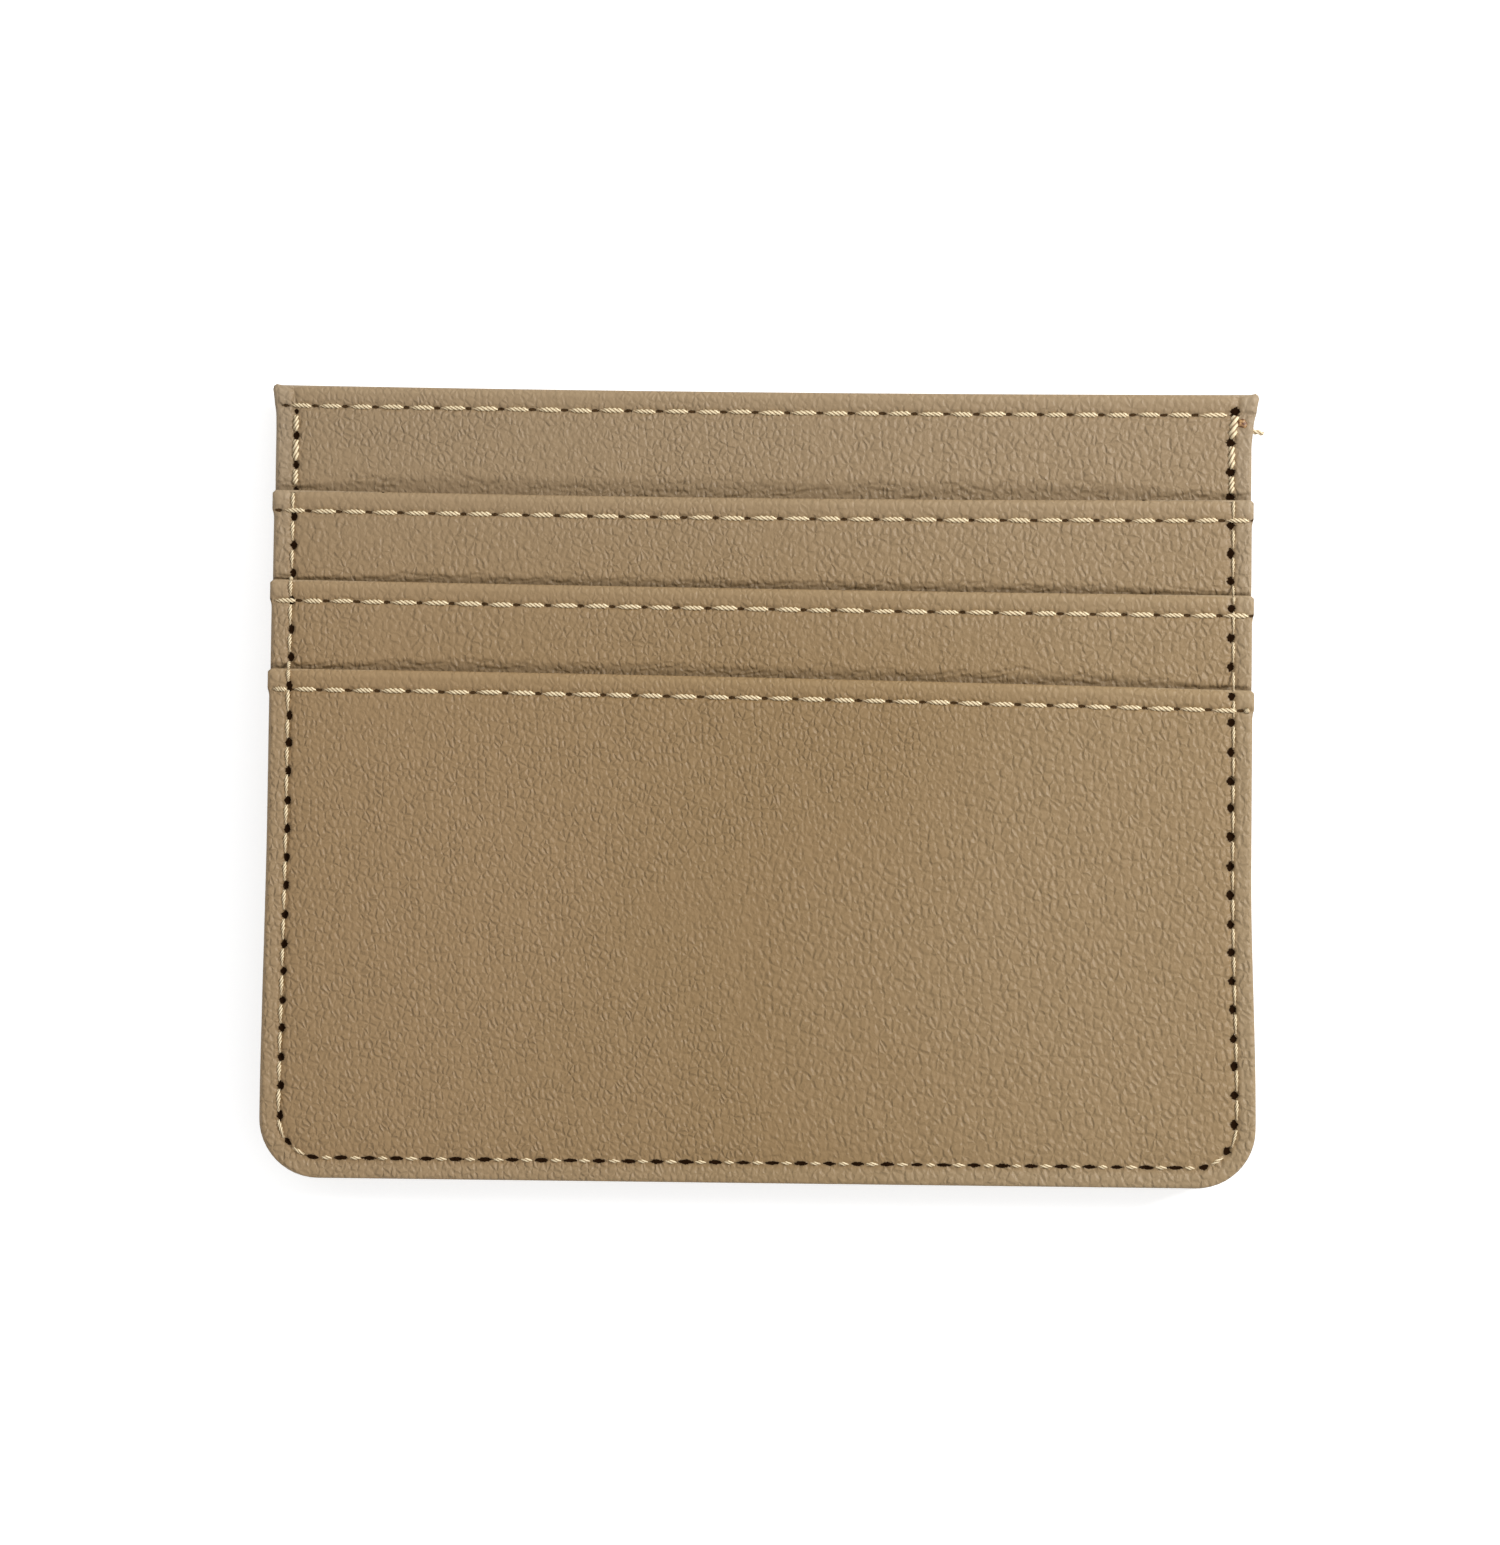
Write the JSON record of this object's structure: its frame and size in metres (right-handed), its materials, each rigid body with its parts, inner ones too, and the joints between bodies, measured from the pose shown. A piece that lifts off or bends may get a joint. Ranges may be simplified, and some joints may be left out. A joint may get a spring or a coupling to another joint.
{
  "type": "card holder",
  "caption": "Slim sewn leather card holder: stepped card pockets on both faces and an open-topped centre pocket, stitched round three sides.",
  "frame": {"origin": "middle of the object's box on the plane it lies on, the face of the rear lower pocket", "axes": "+X across the width, +Y from the bottom edge to the mouth, +Z out of the front face"},
  "size_m": [0.1, 0.0803, 0.0063],
  "materials": {
    "leather": "matte pebbled",
    "board": "matte",
    "lining": "woven",
    "thread": "twisted thread"
  },
  "bodies": {
    "root": {"front_panel": "leather", "front_board": "board", "front_lining": "lining", "front_upper_pocket": "leather", "front_upper_lining": "lining", "front_middle_pocket": "leather", "front_middle_lining": "lining", "front_lower_pocket": "leather", "front_lower_lining": "lining", "front_mouth_thread": "thread", "front_upper_thread": "thread", "front_middle_thread": "thread", "front_lower_thread": "thread", "front_upper_base_thread": "thread", "front_middle_base_thread": "thread", "rear_panel": "leather", "rear_board": "board", "rear_lining": "lining", "rear_upper_pocket": "leather", "rear_upper_lining": "lining", "rear_middle_pocket": "leather", "rear_middle_lining": "lining", "rear_lower_pocket": "leather", "rear_lower_lining": "lining", "rear_mouth_thread": "thread", "rear_upper_thread": "thread", "rear_middle_thread": "thread", "rear_lower_thread": "thread", "rear_upper_base_thread": "thread", "rear_middle_base_thread": "thread", "seam_needle_thread": "thread", "seam_bobbin_thread": "thread"}
  },
  "joints": []
}
